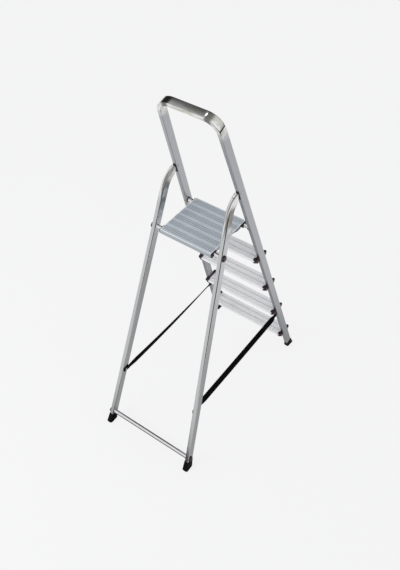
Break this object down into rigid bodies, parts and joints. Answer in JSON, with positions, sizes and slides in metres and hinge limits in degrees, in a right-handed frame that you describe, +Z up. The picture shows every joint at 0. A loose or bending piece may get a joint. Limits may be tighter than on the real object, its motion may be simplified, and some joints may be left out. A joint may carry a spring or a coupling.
{
  "type": "step ladder",
  "caption": "Folding aluminium step ladder with ribbed treads, a lifting standing platform, a bent handrail, hinged rear legs and webbing straps.",
  "frame": {"origin": "on the floor in the middle of the open ladder's footprint", "axes": "+Z up, the climber stands on the -Y side and faces +Y, +X to the climber's right"},
  "size_m": [0.5066, 1.0009, 1.7211],
  "materials": {
    "frame_aluminium": "satin anodised, polished round the handrail bends",
    "leg_aluminium": "satin anodised, polished where it is bent",
    "polished_rod": "bright drawn tube",
    "tread_aluminium": "pale satin extrusion with fine ribs",
    "deck_aluminium": "bluish satin extrusion with fine ribs",
    "side_steel": "zinc-plated sheet",
    "stud_steel": "bright rivet",
    "plum_plastic": "dark plum moulded plastic",
    "black_plastic": "black moulded nylon",
    "foot_rubber": "black moulded rubber",
    "webbing": "black woven webbing"
  },
  "bodies": {
    "front_frame": {"front_foot_left": "foot_rubber", "front_foot_right": "foot_rubber", "front_frame_tube": "frame_aluminium", "front_rod": "polished_rod", "front_rod_collars": "black_plastic", "pivot_rivets": "stud_steel", "slot_liner_left": "black_plastic", "slot_liner_right": "black_plastic", "strap_left": "webbing", "strap_right": "webbing", "strap_studs_front": "stud_steel", "tread_1": "tread_aluminium", "tread_2": "tread_aluminium", "tread_3": "tread_aluminium", "tread_4": "tread_aluminium", "tread_cap_1_left": "plum_plastic", "tread_cap_1_right": "plum_plastic", "tread_cap_2_left": "plum_plastic", "tread_cap_2_right": "plum_plastic", "tread_cap_3_left": "plum_plastic", "tread_cap_3_right": "plum_plastic", "tread_cap_4_left": "plum_plastic", "tread_cap_4_right": "plum_plastic"},
    "rear_legs": {"crossbar": "polished_rod", "crossbar_cap_left": "plum_plastic", "crossbar_cap_right": "plum_plastic", "leg_tongue_left": "leg_aluminium", "leg_tongue_right": "leg_aluminium", "rear_foot_left": "foot_rubber", "rear_foot_right": "foot_rubber", "rear_leg_left": "leg_aluminium", "rear_leg_right": "leg_aluminium", "rear_rod": "polished_rod", "rear_rod_cap_left": "plum_plastic", "rear_rod_cap_right": "plum_plastic", "strap_studs_rear": "stud_steel"},
    "platform": {"bearing_block_left": "black_plastic", "bearing_block_right": "black_plastic", "plate_rivets": "stud_steel", "platform_deck": "deck_aluminium", "rear_hook_left": "black_plastic", "rear_hook_right": "black_plastic", "side_plate_left": "side_steel", "side_plate_right": "side_steel"}
  },
  "joints": [
    {"name": "rear_legs_fold", "type": "hinge", "parent": "front_frame", "child": "rear_legs", "pos_m": [0, -0.0198, 1.32432], "axis": [1, 0, 0], "range_deg": [-35, 0], "deforming": ["strap_left", "strap_right"]},
    {"name": "platform_lift", "type": "hinge", "parent": "front_frame", "child": "platform", "pos_m": [0, -0.10092, 1.0855], "axis": [1, 0, 0], "range_deg": [0, 72]}
  ],
  "couplings": [
    {"joint": "platform_lift", "follows": "rear_legs_fold", "ratio": -2.04}
  ]
}
